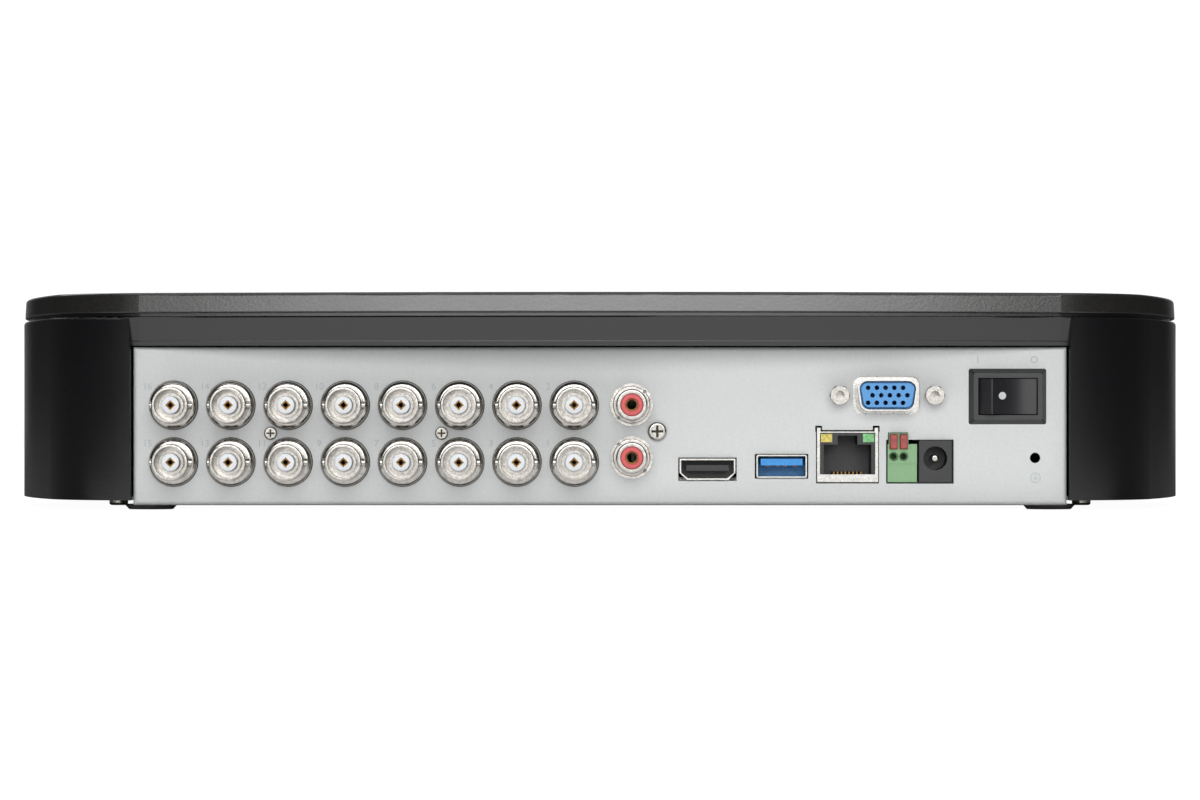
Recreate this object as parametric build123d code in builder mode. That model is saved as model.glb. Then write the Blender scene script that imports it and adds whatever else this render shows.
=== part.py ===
from build123d import *

import os
from math import cos, radians, sqrt, tan

os.makedirs("parts", exist_ok=True)

# Millimetres. +Z up, feet on Z = 0, X and Y centred. The connector panel faces +Y, the display front -Y.

# ---- Casing ----
width = 327.5
depth = 255.0
height = 57.4
side_bow_radius = 285.0
end_bow_radius = 740.0
corner_radius = 33.0
wall = 3.0
body_bottom = 2.7
body_top = 51.2
lid_seat = 52.1
lid_inset = 0.3
lid_draft_inset = 0.3
lid_roof = 2.2
lid_edge_radius = 1.0
lid_rim_radius = 0.35

# ---- Sheet-metal chassis ----
sheet = 1.0
floor_bottom = 1.4
floor_top = floor_bottom + sheet
wing_bottom = body_bottom
wing_top = wing_bottom + sheet
panel_y = 114.0
panel_half_width = 123.2
panel_top = 43.2
panel_flange = 12.0
wing_length = 221.0
tray_length = 232.0
tray_mid_y = -4.0
foot_spots = [(x, y) for x in (-120.5, 120.5) for y in (-92.0, 92.0)]
foot_radius_top = 7.2
foot_radius_bottom = 5.9
casing_screw_spots = [(x, y) for x in (-128.5, 128.5) for y in (-99.0, 99.0)]
lid_screw_spots = [(x, y) for x in (-141.0, 141.0) for y in (-60.0, 60.0)]
lid_ledge_bottom = 43.0
lid_ledge_top = 46.0

# ---- Rear recess around the connector panel ----
recess_half_width = 123.7
recess_top = 43.5
band_lean = 2.2
band_line_rise = 1.0
band_line_width = 0.3
band_line_inset = 1.85

# ---- Rear connectors, each as (x, z) on the panel ----
bnc_first_x = 112.5
bnc_pitch = 15.1
bnc_columns = 8
bnc_rows = (27.8, 12.8)
bnc_tip_y = panel_y + 12.7
bnc_screw_spots = [(86.9, 20.4), (41.8, 20.4)]
audio_x = -8.35
audio_in_z = 27.9
audio_out_z = 14.0
audio_screw_at = (-15.1, 20.9)
stack_middle_z = 21.4
hdmi_at = (-28.35, 10.9)
usb_at = (-47.9, 11.7)
lan_at = (-65.3, 14.2)
vga_at = (-75.6, 30.4)
vga_screw_spacing = 25.0
alarm_left, alarm_right = -83.6, -75.8
alarm_bottom, alarm_top = 7.5, 17.6
lever_xs = (-77.4, -80.05)
lever_z = 18.2
dc_left, dc_right = -93.0, -83.9
dc_at = (-88.4, 13.8)
switch_at = (-107.5, 30.1)
ground_at = (-114.8, 13.9)
ground_radius = 1.375

# ---- Inside ----
board_bottom = 5.9
board_top = 7.5
board_hole_spots = [(x, y) for x in (-92.0, 8.0, 108.0) for y in (24.0, 92.0)]
drive_left, drive_right = -65.0, 82.0
drive_front, drive_back = -108.8, -7.2
drive_bottom, drive_rim, drive_top = 6.4, 30.9, 32.5
drive_mid_y = (drive_front + drive_back) / 2
drive_hole_spots = [(x, drive_mid_y + y) for x in (-23.7, 20.75) for y in (-47.6, 47.6)]
spindle_x = 31.0
arm_pivot = (-22.0, -78.0)
arm_length = 42.0
arm_park_angle = 78.0
fan_plane_x = -150.0
fan_z = 25.5
fan_size = 40.0
fan_bracket_top = 47.0


def across(y):
    """Plane across the case at depth y: X to the right, Z up, a positive extrusion runs to the front."""
    return Plane.XZ.offset(-y)


def plan_outline(inset=0.0):
    """Casing seen from above, inset by a distance: four shallow bows with rounded corners."""
    side_offset = side_bow_radius - width / 2
    end_offset = end_bow_radius - depth / 2
    with BuildSketch() as outline:
        with Locations((-side_offset, 0)):
            Circle(side_bow_radius - inset)
        with Locations((side_offset, 0)):
            Circle(side_bow_radius - inset, mode=Mode.INTERSECT)
        with Locations((0, -end_offset)):
            Circle(end_bow_radius - inset, mode=Mode.INTERSECT)
        with Locations((0, end_offset)):
            Circle(end_bow_radius - inset, mode=Mode.INTERSECT)
        fillet(outline.vertices(), corner_radius - inset)
    return outline.sketch


def drafted_casing(low_z, low_inset, high_z, high_inset):
    """Solid block with the casing's plan, inset by one distance at its foot and another at its top."""
    with BuildPart() as block:
        with BuildSketch(Plane.XY.offset(low_z)):
            add(plan_outline(low_inset))
        with BuildSketch(Plane.XY.offset(high_z)):
            add(plan_outline(high_inset))
        loft()
    return block.part


def cross_head_screw(head_radius, head_height, shank_radius, shank_length):
    """Pan-head screw with a cross recess, seated on Z = 0 with its head upwards."""
    with BuildPart() as screw:
        with BuildSketch():
            Circle(head_radius)
        extrude(amount=head_height)
        fillet(screw.edges().group_by(Axis.Z)[-1], 0.45 * head_height)
        with BuildSketch(Plane.XY.offset(head_height)):
            Rectangle(1.25 * head_radius, 0.26 * head_radius)
            Rectangle(0.26 * head_radius, 1.25 * head_radius)
        extrude(amount=-0.6 * head_height, mode=Mode.SUBTRACT)
        with BuildSketch():
            Circle(shank_radius)
        extrude(amount=-shank_length)
    return screw.part


def save(piece, name):
    """Label one finished piece and write it to its own file."""
    piece.part.label = name
    export_step(piece.part, f"parts/{name}.step")


# ======== Casing ========

fascia_half_width = 120.0
fascia_bottom, fascia_top = 10.0, 46.0
recess_roof = 2.2
cheek = 2.5

# Wedge taken off the band above the connector panel, so that its face leans in towards its lower edge.
with BuildPart() as band_wedge:
    with BuildSketch(Plane.XY.offset(recess_top - 1)):
        with Locations((0, 110)):
            Rectangle(2 * recess_half_width + 0.6, 60)
    extrude(amount=body_top - recess_top + 1)
    add(drafted_casing(recess_top - 2, band_lean, body_top, 0), mode=Mode.SUBTRACT)

with BuildPart() as body_shell:
    with BuildSketch(Plane.XY.offset(body_bottom)):
        add(plan_outline())
    extrude(amount=body_top - body_bottom)
    fillet(body_shell.edges().group_by(Axis.Z)[-1], 0.8)
    with BuildSketch(Plane.XY.offset(body_bottom)):
        add(plan_outline(wall))
    extrude(amount=body_top - body_bottom, mode=Mode.SUBTRACT)
    # Inner lip that carries the lid and leaves a dark reveal outside it.
    with BuildSketch(Plane.XY.offset(body_top - 3)):
        add(plan_outline(1.5))
        add(plan_outline(wall), mode=Mode.SUBTRACT)
    extrude(amount=lid_seat - body_top + 3)
    # Cheeks and roof of the recess that frames the metal panel.
    with BuildSketch(Plane.XY.offset(body_bottom)):
        add(plan_outline(1.5))
        with Locations((0, 125)):
            Rectangle(2 * (recess_half_width + cheek), 28, mode=Mode.INTERSECT)
    extrude(amount=recess_top + recess_roof - body_bottom)
    with BuildSketch(Plane.XY.offset(body_bottom - 1)):
        with Locations((0, 120)):
            Rectangle(2 * recess_half_width, 40)
    extrude(amount=recess_top - body_bottom + 1, mode=Mode.SUBTRACT)
    add(band_wedge.part, mode=Mode.SUBTRACT)
    # Fine line sunk into the band just above its lower edge.
    with BuildSketch(Plane.XY.offset(recess_top + band_line_rise)):
        with Locations((0, 110)):
            Rectangle(2 * recess_half_width + 0.6, 60)
        add(plan_outline(band_line_inset), mode=Mode.SUBTRACT)
    extrude(amount=band_line_width, mode=Mode.SUBTRACT)
    # Opening for the front fascia.
    with BuildSketch(Plane.XY.offset(fascia_bottom)):
        with Locations((0, -depth / 2)):
            Rectangle(2 * fascia_half_width, 60)
    extrude(amount=fascia_top - fascia_bottom, mode=Mode.SUBTRACT)
    # Air slots in both side walls.
    with BuildSketch(Plane.YZ.offset(-width)):
        with Locations((0, 27)):
            with GridLocations(5.0, 1, 13, 1):
                SlotOverall(24, 2.2, rotation=90)
    extrude(amount=2 * width, mode=Mode.SUBTRACT)
    # Posts for the screws that come up through the chassis.
    with BuildSketch(Plane.XY.offset(wing_top)):
        for x, y in casing_screw_spots:
            with Locations((x, y)):
                Circle(4.0)
            with Locations((x, y + (7 if y > 0 else -7))):
                Rectangle(2.0, 13.0)
        add(plan_outline(1.5), mode=Mode.INTERSECT)
    extrude(amount=28)
    with BuildSketch(Plane.XY.offset(wing_top)):
        with Locations(*casing_screw_spots):
            Circle(1.55)
    extrude(amount=14, mode=Mode.SUBTRACT)
    # Ledges for the screws that hold the lid.
    with BuildSketch(Plane.XY.offset(lid_ledge_bottom)):
        for x, y in lid_screw_spots:
            with Locations((x + (4 if x > 0 else -4), y)):
                Rectangle(22, 12)
        add(plan_outline(1.5), mode=Mode.INTERSECT)
        with Locations(*lid_screw_spots):
            Circle(1.7, mode=Mode.SUBTRACT)
    extrude(amount=lid_ledge_top - lid_ledge_bottom)
save(body_shell, "body_shell")

with BuildPart() as top_cover:
    add(drafted_casing(lid_seat, lid_inset, height, lid_inset + lid_draft_inset))
    fillet(top_cover.edges().group_by(Axis.Z)[-1], lid_edge_radius)
    fillet(top_cover.edges().group_by(Axis.Z)[0], lid_rim_radius)
    with BuildSketch(Plane.XY.offset(lid_seat)):
        add(plan_outline(wall + 1.7))
    extrude(amount=height - lid_seat - lid_roof, mode=Mode.SUBTRACT)
    with BuildSketch(Plane.XY.offset(lid_seat - 2.9)):
        add(plan_outline(wall + 0.3))
        add(plan_outline(wall + 1.7), mode=Mode.SUBTRACT)
    extrude(amount=3.5)
    with BuildSketch(Plane.XY.offset(lid_ledge_top)):
        with Locations(*lid_screw_spots):
            Circle(3.5)
            Circle(1.5, mode=Mode.SUBTRACT)
    extrude(amount=height - lid_roof - lid_ledge_top + 0.2)
save(top_cover, "top_cover")

# Front: a glossy fascia clipped behind the body wall, a dark infrared window and three light pipes.
window_half_width = 28.0
window_bottom, window_top = 19.0, 37.0
lamp_xs = (-54.0, -46.0, -38.0)
lamp_z = 28.0
front_usb_at = (98.0, 28.0)

with BuildPart() as front_fascia:
    with BuildSketch(Plane.XY.offset(fascia_bottom + 0.2)):
        add(plan_outline(0.6))
        add(plan_outline(wall + 1.6), mode=Mode.SUBTRACT)
        with Locations((0, -100)):
            Rectangle(2 * fascia_half_width - 0.4, 80, mode=Mode.INTERSECT)
    extrude(amount=fascia_top - fascia_bottom - 0.4)
    with BuildSketch(Plane.XY.offset(fascia_bottom - 2.5)):
        add(plan_outline(wall + 0.1))
        add(plan_outline(wall + 1.6), mode=Mode.SUBTRACT)
        with Locations((0, -100)):
            Rectangle(2 * fascia_half_width + 5, 80, mode=Mode.INTERSECT)
    extrude(amount=fascia_top - fascia_bottom + 5)
    with BuildSketch(across(-100)):
        with Locations((0, (window_bottom + window_top) / 2)):
            RectangleRounded(2 * window_half_width, window_top - window_bottom, 3)
        with Locations(*[(x, lamp_z) for x in lamp_xs]):
            Circle(1.4)
        with Locations(front_usb_at):
            Rectangle(13.9, 6.7)
    extrude(amount=40, mode=Mode.SUBTRACT)
save(front_fascia, "front_fascia")

with BuildPart() as ir_window:
    with BuildSketch(Plane.XY.offset(window_bottom - 1)):
        add(plan_outline(0.8))
        add(plan_outline(wall + 1.4), mode=Mode.SUBTRACT)
        with Locations((0, -100)):
            Rectangle(2 * window_half_width, 80, mode=Mode.INTERSECT)
    extrude(amount=window_top - window_bottom + 2)
    with BuildSketch(across(-100)):
        with Locations((0, (window_bottom + window_top) / 2)):
            RectangleRounded(2 * window_half_width - 0.2, window_top - window_bottom - 0.2, 2.9)
    extrude(amount=40, mode=Mode.INTERSECT)
save(ir_window, "ir_window")

front_board_y = -113.0
with BuildPart() as led_light_pipes:
    with BuildSketch(across(front_board_y - 0.6)):
        with Locations(*[(x, lamp_z) for x in lamp_xs]):
            Circle(1.3)
    extrude(amount=12)
    fillet(led_light_pipes.edges().group_by(Axis.Y)[0], 0.6)
save(led_light_pipes, "led_light_pipes")


# ======== Chassis ========

with BuildPart() as foot_dimples:
    for x, y in foot_spots:
        with BuildSketch(Plane.XY.offset(floor_bottom)):
            with Locations((x, y)):
                Circle(foot_radius_top)
        with BuildSketch(Plane.XY):
            with Locations((x, y)):
                Circle(foot_radius_bottom)
        loft()

with BuildPart() as foot_hollows:
    for x, y in foot_spots:
        with BuildSketch(Plane.XY.offset(floor_top)):
            with Locations((x, y)):
                Circle(foot_radius_top)
        with BuildSketch(Plane.XY.offset(sheet)):
            with Locations((x, y)):
                Circle(foot_radius_bottom)
        loft()

with BuildPart() as chassis:
    # Folded tray: connector wall with a short return flange on each edge.
    with BuildSketch(across(panel_y)):
        with Locations((0, (floor_bottom + panel_top) / 2)):
            Rectangle(2 * panel_half_width, panel_top - floor_bottom)
    extrude(amount=panel_flange)
    rear_edges = chassis.faces().sort_by(Axis.Y)[-1].edges()
    fillet(rear_edges, 1.1)
    with BuildSketch(across(panel_y - sheet)):
        with Locations((0, (floor_bottom + panel_top) / 2)):
            Rectangle(2 * (panel_half_width - sheet), panel_top - floor_bottom - 2 * sheet)
    extrude(amount=panel_flange, mode=Mode.SUBTRACT)
    # Floor, stepped up at both sides into wings that close the casing from below.
    with BuildSketch(Plane.XY.offset(floor_bottom)):
        with Locations((0, tray_mid_y)):
            Rectangle(2 * panel_half_width, tray_length)
        add(plan_outline(wall + 0.4), mode=Mode.INTERSECT)
    extrude(amount=sheet)
    with BuildSketch(Plane.XY.offset(wing_bottom)):
        add(plan_outline(wall + 0.4))
        Rectangle(width, wing_length, mode=Mode.INTERSECT)
        Rectangle(2 * (panel_half_width - sheet), depth, mode=Mode.SUBTRACT)
    extrude(amount=sheet)
    with BuildSketch(Plane.XY.offset(floor_bottom)):
        for side in (-1, 1):
            with Locations((side * (panel_half_width - sheet / 2), tray_mid_y)):
                Rectangle(sheet, tray_length)
        add(plan_outline(wall + 0.4), mode=Mode.INTERSECT)
    extrude(amount=wing_top - floor_bottom)
    # Embossed feet.
    add(foot_dimples.part)
    add(foot_hollows.part, mode=Mode.SUBTRACT)
    # Standoffs for the main board and bosses for the disk drive.
    with BuildSketch(Plane.XY.offset(floor_bottom + 0.5)):
        with Locations(*board_hole_spots):
            Circle(2.6)
    extrude(amount=board_bottom - floor_bottom - 0.5)
    with BuildSketch(Plane.XY.offset(floor_top)):
        with Locations(*board_hole_spots):
            Circle(1.3)
    extrude(amount=board_bottom - floor_top, mode=Mode.SUBTRACT)
    with BuildSketch(Plane.XY.offset(floor_bottom + 0.5)):
        with Locations(*drive_hole_spots):
            Circle(5.0)
    extrude(amount=drive_bottom - floor_bottom - 0.5)
    with Locations(*[Location((x, y, floor_bottom), (180, 0, 0)) for x, y in drive_hole_spots]):
        CounterSinkHole(radius=1.9, counter_sink_radius=3.5, depth=drive_bottom - floor_bottom)
    with BuildSketch(Plane.XY.offset(wing_bottom)):
        with Locations(*casing_screw_spots):
            Circle(1.7)
    extrude(amount=sheet, mode=Mode.SUBTRACT)
    # Air slots under the drive and the main board.
    with BuildSketch(Plane.XY.offset(floor_bottom)):
        with Locations((50, drive_mid_y), (-95, drive_mid_y), (-42, 58), (58, 58)):
            with GridLocations(1, 6, 1, 8):
                SlotOverall(26, 2.4)
    extrude(amount=sheet, mode=Mode.SUBTRACT)
    # Bent-up bracket that carries the fan behind the side slots.
    with BuildSketch(Plane.YZ.offset(fan_plane_x - sheet)):
        with Locations((0, (wing_bottom + fan_bracket_top) / 2)):
            RectangleRounded(46, fan_bracket_top - wing_bottom, 2)
        with Locations((0, wing_bottom + 2)):
            Rectangle(46, 4)
        with Locations((0, fan_z)):
            Circle(18.6, mode=Mode.SUBTRACT)
            with GridLocations(32, 32, 2, 2):
                Circle(1.6, mode=Mode.SUBTRACT)
    extrude(amount=sheet)
    # Openings in the connector wall.
    with BuildSketch(across(panel_y + 1)):
        for column in range(bnc_columns):
            for z in bnc_rows:
                with Locations((bnc_first_x - column * bnc_pitch, z)):
                    Circle(6.55)
        with Locations((audio_x, audio_in_z), (audio_x, audio_out_z)):
            Circle(4.6)
        with Locations(hdmi_at):
            Rectangle(15.4, 6.2)
        with Locations(usb_at):
            Rectangle(14.1, 6.5)
        with Locations(lan_at):
            Rectangle(16.6, 14.1)
        with Locations((lan_at[0] - 7.6, lan_at[1] + 7.4), (lan_at[0] + 7.6, lan_at[1] + 7.4)):
            Rectangle(1.8, 1.6)
        with Locations(((dc_left + alarm_right) / 2, 12.9)):
            Rectangle(alarm_right - dc_left + 0.6, 11.6)
        with Locations(((lever_xs[0] + lever_xs[1]) / 2 + 0.1, 18.2)):
            Rectangle(5.3, 4.8)
        with Locations(vga_at):
            RectangleRounded(17.6, 10.0, 2.2)
        with Locations((vga_at[0] - vga_screw_spacing / 2, vga_at[1]),
                       (vga_at[0] + vga_screw_spacing / 2, vga_at[1])):
            Circle(1.8)
        with Locations(switch_at):
            Rectangle(19.4, 13.4)
        with Locations(ground_at):
            Circle(ground_radius)
        with Locations(*bnc_screw_spots):
            Circle(1.0)
        with Locations(audio_screw_at):
            Circle(1.5)
    extrude(amount=sheet + 1.5, mode=Mode.SUBTRACT)
save(chassis, "chassis")

casing_screw = cross_head_screw(2.5, 1.5, 1.45, 9.5)
with BuildPart() as casing_screws:
    with Locations(*[Location((x, y, wing_bottom), (180, 0, 0)) for x, y in casing_screw_spots]):
        add(casing_screw)
    with Locations(*[Location((x, y, lid_ledge_bottom), (180, 0, 0)) for x, y in lid_screw_spots]):
        add(casing_screw)
save(casing_screws, "casing_screws")

# The head points to the rear: the screw's own +Z turns to +Y.
with BuildPart() as rear_panel_screws:
    with Locations(*[Location((x, panel_y, z), (-90, 0, 0)) for x, z in bnc_screw_spots]):
        add(cross_head_screw(1.7, 0.9, 0.95, 6))
    with Locations(Location((audio_screw_at[0], panel_y, audio_screw_at[1]), (-90, 0, 0))):
        add(cross_head_screw(2.5, 1.4, 1.4, 6))
save(rear_panel_screws, "rear_panel_screws")


# ======== Video inputs: sixteen bayonet jacks in eight stacked pairs ========

bnc_collar_radius = 6.35
bnc_collar_length = 4.7
bnc_collar_rounding = 1.3
bnc_seat_depth = 9.0
bnc_barrel_radius = 4.82
bnc_bore_radius = 4.1
bnc_insulator_radius = 2.38
housing_back_y = 97.0


def bnc_pair(x):
    """Spots of the two jacks stacked at one column."""
    return [(x, z) for z in bnc_rows]


bnc_xs = [bnc_first_x - column * bnc_pitch for column in range(bnc_columns)]
bnc_spots = [spot for x in bnc_xs for spot in bnc_pair(x)]

with BuildPart() as bnc_housings:
    with BuildSketch(across(panel_y - sheet - 0.05)):
        with Locations(*[(x, stack_middle_z) for x in bnc_xs]):
            Rectangle(bnc_pitch - 0.4, 2 * (stack_middle_z - board_top) - 0.1)
    extrude(amount=panel_y - sheet - housing_back_y)
    with BuildSketch(across(panel_y)):
        with Locations(*bnc_spots):
            Circle(bnc_collar_radius + 0.05)
    extrude(amount=2.15, mode=Mode.SUBTRACT)
    with BuildSketch(across(panel_y)):
        with Locations(*bnc_spots):
            Circle(bnc_barrel_radius + 0.05)
    extrude(amount=bnc_seat_depth + 0.05, mode=Mode.SUBTRACT)
    with BuildSketch(across(panel_y)):
        with Locations(*bnc_spots):
            Circle(bnc_insulator_radius + 0.05)
    extrude(amount=12.0, mode=Mode.SUBTRACT)
    with BuildSketch(across(panel_y)):
        with Locations(*bnc_screw_spots):
            Circle(1.0)
    extrude(amount=9.0, mode=Mode.SUBTRACT)
save(bnc_housings, "bnc_housings")

for number, x in enumerate(bnc_xs, start=1):
    with BuildPart() as bnc_jacks:
        # Collar, seated in the housing and standing just proud of the panel.
        with BuildSketch(across(panel_y + 2.6)):
            with Locations(*bnc_pair(x)):
                Circle(bnc_collar_radius)
        extrude(amount=bnc_collar_length)
        collar_rims = bnc_jacks.faces().filter_by(Axis.Y).group_by(Axis.Y)[-1].edges()
        fillet(collar_rims, bnc_collar_rounding)
        # Barrel with a rounded mouth.
        with BuildSketch(across(bnc_tip_y)):
            with Locations(*bnc_pair(x)):
                Circle(bnc_barrel_radius)
        extrude(amount=11.0)
        barrel_rims = bnc_jacks.faces().filter_by(Axis.Y).group_by(Axis.Y)[-1].edges()
        fillet(barrel_rims, 0.35)
        with BuildSketch(across(panel_y)):
            with Locations(*bnc_pair(x)):
                Circle(bnc_barrel_radius)
        extrude(amount=bnc_seat_depth)
        # Bayonet lugs on both sides of each barrel.
        with BuildSketch(Plane.YZ.offset(x - 5.5)):
            with Locations(*[(bnc_tip_y - 5.0, z) for z in bnc_rows]):
                Circle(1.0)
        extrude(amount=11.0)
        # Bore, with a raised ring around the insulator at its bottom.
        with BuildSketch(across(bnc_tip_y)):
            with Locations(*bnc_pair(x)):
                Circle(bnc_bore_radius)
        extrude(amount=5.4, mode=Mode.SUBTRACT)
        with BuildSketch(across(bnc_tip_y - 5.0)):
            with Locations(*bnc_pair(x)):
                Circle(bnc_bore_radius)
                Circle(3.15, mode=Mode.SUBTRACT)
        extrude(amount=4.4, mode=Mode.SUBTRACT)
        with BuildSketch(across(bnc_tip_y)):
            with Locations(*bnc_pair(x)):
                Circle(bnc_insulator_radius + 0.02)
        extrude(amount=22.0, mode=Mode.SUBTRACT)
    save(bnc_jacks, f"bnc_jacks_{number}")

with BuildPart() as bnc_insulators:
    with BuildSketch(across(bnc_tip_y - 2.6)):
        with Locations(*bnc_spots):
            Circle(bnc_insulator_radius)
    extrude(amount=20.0)
    fillet(bnc_insulators.edges().group_by(Axis.Y)[-1], 0.3)
    with BuildSketch(across(bnc_tip_y)):
        with Locations(*bnc_spots):
            Rectangle(1.9, 1.9, rotation=45)
    extrude(amount=16.0, mode=Mode.SUBTRACT)
save(bnc_insulators, "bnc_insulators")

with BuildPart() as bnc_contacts:
    with BuildSketch(across(bnc_tip_y - 3.1)):
        with Locations(*bnc_spots):
            Rectangle(1.86, 1.86, rotation=45)
            Rectangle(1.2, 1.2, rotation=45, mode=Mode.SUBTRACT)
    extrude(amount=12.0)
save(bnc_contacts, "bnc_contacts")


# ======== Audio in and out ========

with BuildPart() as audio_housing:
    with BuildSketch(across(panel_y - sheet - 0.05)):
        with Locations((audio_x - 0.9, stack_middle_z)):
            Rectangle(17.0, 2 * (stack_middle_z - board_top) - 0.1)
        with Locations((audio_x, audio_in_z), (audio_x, audio_out_z)):
            Circle(4.55, mode=Mode.SUBTRACT)
        with Locations(audio_screw_at):
            Circle(1.5, mode=Mode.SUBTRACT)
    extrude(amount=13.0)
save(audio_housing, "audio_housing")

for name, z, notch_angle in (("audio_in", audio_in_z, 135.0), ("audio_out", audio_out_z, 45.0)):
    with BuildPart() as rca_jack:
        with BuildSketch(across(panel_y + 0.8)):
            with Locations((audio_x, z)):
                Circle(5.65)
        extrude(amount=0.8)
        with BuildSketch(across(panel_y + 1.6)):
            with Locations((audio_x, z)):
                Circle(4.95)
        extrude(amount=0.8)
        fillet(rca_jack.edges().group_by(Axis.Y)[-1], 0.3)
        with BuildSketch(across(panel_y + 9.6)):
            with Locations((audio_x, z)):
                Circle(4.15)
        extrude(amount=8.0)
        fillet(rca_jack.edges().group_by(Axis.Y)[-1], 0.5)
        with BuildSketch(across(panel_y)):
            with Locations((audio_x, z)):
                Circle(4.5)
        extrude(amount=11.0)
        with BuildSketch(across(panel_y + 9.6)):
            with Locations((audio_x, z)):
                Circle(3.05)
        extrude(amount=22.0, mode=Mode.SUBTRACT)
        # Two small punched notches in the flange, opposite each other.
        with BuildSketch(across(panel_y + 1.6)):
            with Locations((audio_x, z)):
                with PolarLocations(4.85, 2, start_angle=notch_angle):
                    Rectangle(0.9, 0.9)
        extrude(amount=1.7, mode=Mode.SUBTRACT)
    save(rca_jack, f"{name}_jack")

with BuildPart() as rca_insulators:
    with BuildSketch(across(panel_y + 9.0)):
        with Locations((audio_x, audio_in_z), (audio_x, audio_out_z)):
            Circle(3.0)
            Circle(1.65, mode=Mode.SUBTRACT)
    extrude(amount=14.0)
    fillet(rca_insulators.edges().group_by(Axis.Y)[-1], 0.3)
save(rca_insulators, "rca_insulators")

with BuildPart() as rca_contacts:
    with BuildSketch(across(panel_y + 6.5)):
        with Locations((audio_x, audio_in_z), (audio_x, audio_out_z)):
            Circle(1.62)
            Circle(1.3, mode=Mode.SUBTRACT)
    extrude(amount=11.0)
save(rca_contacts, "rca_contacts")


# ======== HDMI ========


def hdmi_profile(half_width, half_height, corner):
    """Flat-topped connector outline whose lower corners are cut away."""
    Polygon(
        (-half_width, half_height),
        (half_width, half_height),
        (half_width, 0.35 * half_height - corner),
        (half_width - corner, -half_height),
        (corner - half_width, -half_height),
        (-half_width, 0.35 * half_height - corner),
        align=None,
    )


hdmi_face_y = panel_y + 0.9
with BuildPart() as hdmi_shell:
    with BuildSketch(across(hdmi_face_y)):
        with Locations(hdmi_at):
            hdmi_profile(7.35, 2.8, 1.9)
    extrude(amount=12.0)
    with BuildSketch(across(hdmi_face_y)):
        with Locations(hdmi_at):
            hdmi_profile(6.95, 2.4, 1.8)
    extrude(amount=12.0, mode=Mode.SUBTRACT)
    # Spring tongues pressed out of the top and bottom walls.
    with BuildSketch(Plane.XY.offset(hdmi_at[1] - 4)):
        with Locations((hdmi_at[0] - 3.4, hdmi_face_y - 4.5), (hdmi_at[0] + 3.4, hdmi_face_y - 4.5)):
            Rectangle(1.9, 4.4)
            with Locations((0, 0.3)):
                Rectangle(1.3, 4.4, mode=Mode.SUBTRACT)
    extrude(amount=8, mode=Mode.SUBTRACT)
save(hdmi_shell, "hdmi_shell")

with BuildPart() as hdmi_insert:
    with BuildSketch(across(hdmi_face_y - 7.5)):
        with Locations(hdmi_at):
            hdmi_profile(6.9, 2.35, 1.8)
    extrude(amount=4.0)
    with BuildSketch(across(hdmi_face_y - 0.7)):
        with Locations((hdmi_at[0], hdmi_at[1] + 0.35)):
            Rectangle(11.2, 1.5)
    extrude(amount=7.5)
save(hdmi_insert, "hdmi_insert")


# ======== USB ========

usb_face_y = panel_y + 1.0


with BuildPart() as usb_shell:
    with BuildSketch(across(usb_face_y)):
        with Locations(usb_at):
            RectangleRounded(13.3, 6.06, 0.5)
            RectangleRounded(12.6, 5.36, 0.3, mode=Mode.SUBTRACT)
    extrude(amount=14.0)
    # Spring fingers cut in the roof and the floor of the sleeve.
    with BuildSketch(Plane.XY.offset(usb_at[1] - 4)):
        with Locations((usb_at[0] - 3.1, usb_face_y - 4.2), (usb_at[0] + 3.1, usb_face_y - 4.2)):
            Rectangle(2.6, 4.4)
            with Locations((0, 0.4)):
                Rectangle(1.8, 4.4, mode=Mode.SUBTRACT)
    extrude(amount=8, mode=Mode.SUBTRACT)
save(usb_shell, "usb_shell")

with BuildPart() as usb_insert:
    with BuildSketch(across(usb_face_y - 9.0)):
        with Locations(usb_at):
            RectangleRounded(12.5, 5.26, 0.3)
    extrude(amount=4.8)
    with BuildSketch(across(usb_face_y - 0.6)):
        with Locations((usb_at[0], usb_at[1] + 1.1)):
            Rectangle(11.0, 1.75)
    extrude(amount=9.0)
save(usb_insert, "usb_insert")


# ======== Network socket ========

lan_face_y = panel_y + 0.6
lan_opening_half = 6.28
lan_floor_z = lan_at[1] - 6.65 + 1.7
lan_notch_half = 2.62
with BuildPart() as lan_shell:
    with BuildSketch(across(lan_face_y)):
        with Locations(lan_at):
            Rectangle(16.1, 13.3)
    extrude(amount=21.0)
    with BuildSketch(across(lan_face_y - 0.4)):
        with Locations(lan_at):
            Rectangle(15.5, 12.7)
    extrude(amount=21.0, mode=Mode.SUBTRACT)
    # Face cut away around the moulded front, which reaches the edge of the sleeve.
    with BuildSketch(across(lan_face_y)):
        with Locations((lan_at[0], lan_at[1] + 0.85)):
            Rectangle(14.6, 11.0)
    extrude(amount=1.0, mode=Mode.SUBTRACT)
    # Earthing ears at the upper corners.
    with BuildSketch(across(lan_face_y)):
        with Locations((lan_at[0] - 7.6, lan_at[1] + 7.0), (lan_at[0] + 7.6, lan_at[1] + 7.0)):
            Rectangle(0.9, 1.3)
    extrude(amount=6.0)
save(lan_shell, "lan_shell")

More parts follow.
